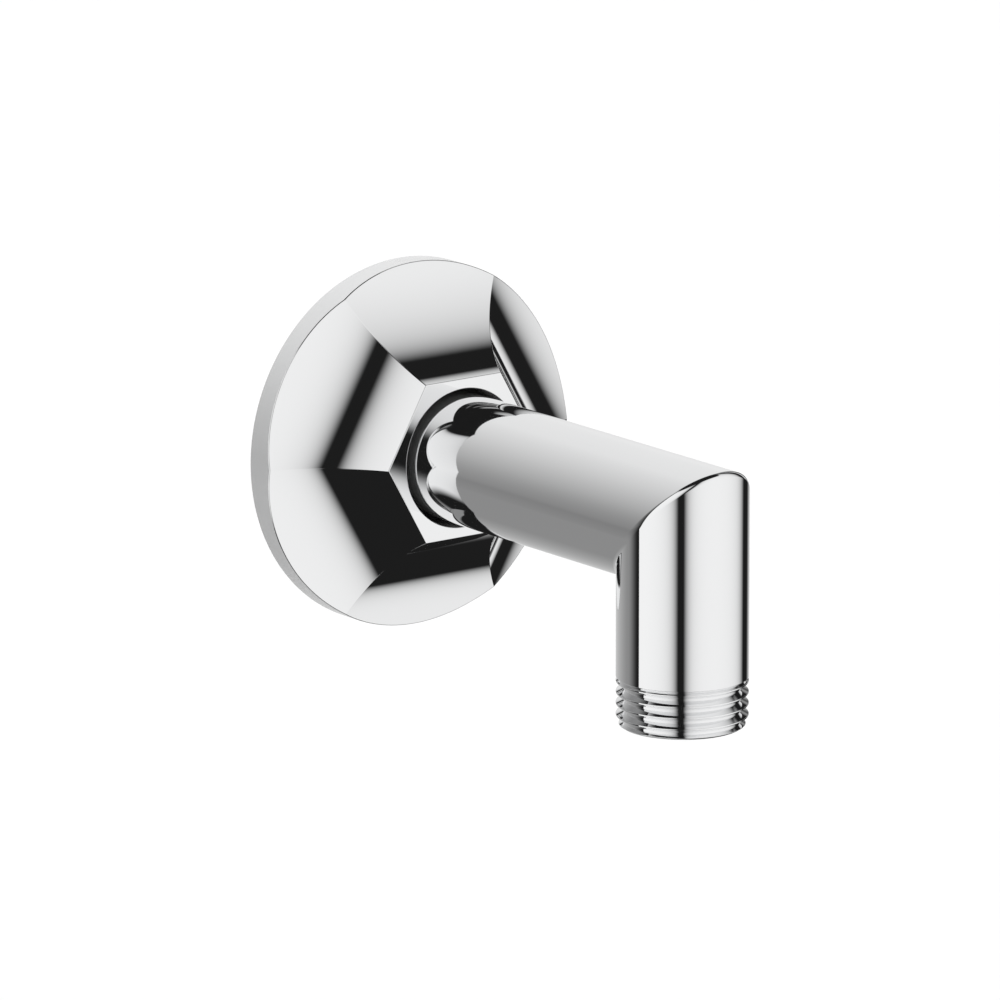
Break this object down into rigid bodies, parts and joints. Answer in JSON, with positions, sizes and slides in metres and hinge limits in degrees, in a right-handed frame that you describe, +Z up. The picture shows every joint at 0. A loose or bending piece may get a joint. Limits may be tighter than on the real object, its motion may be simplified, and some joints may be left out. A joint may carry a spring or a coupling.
{
  "type": "wall outlet elbow",
  "caption": "Wall outlet elbow for a shower: a round cover with hollow facets round a hexagon, a straight arm and a mitred outlet with a male thread.",
  "frame": {"origin": "centre of the rosette's back face, on the wall", "axes": "+Y into the wall along the arm, -Y out of the wall, +Z up, the outlet points along -Z"},
  "size_m": [0.06, 0.0976, 0.062],
  "materials": {
    "chrome": "polished chrome plate on brass",
    "brass": "bare turned brass",
    "rubber": "matt black rubber",
    "steel": "plain stainless steel"
  },
  "bodies": {
    "root": {"rosette": "chrome", "elbow_body": "chrome", "wall_nipple": "brass", "nipple_seals": "rubber", "fixing_screw": "steel", "rosette_ring": "rubber"}
  },
  "joints": []
}
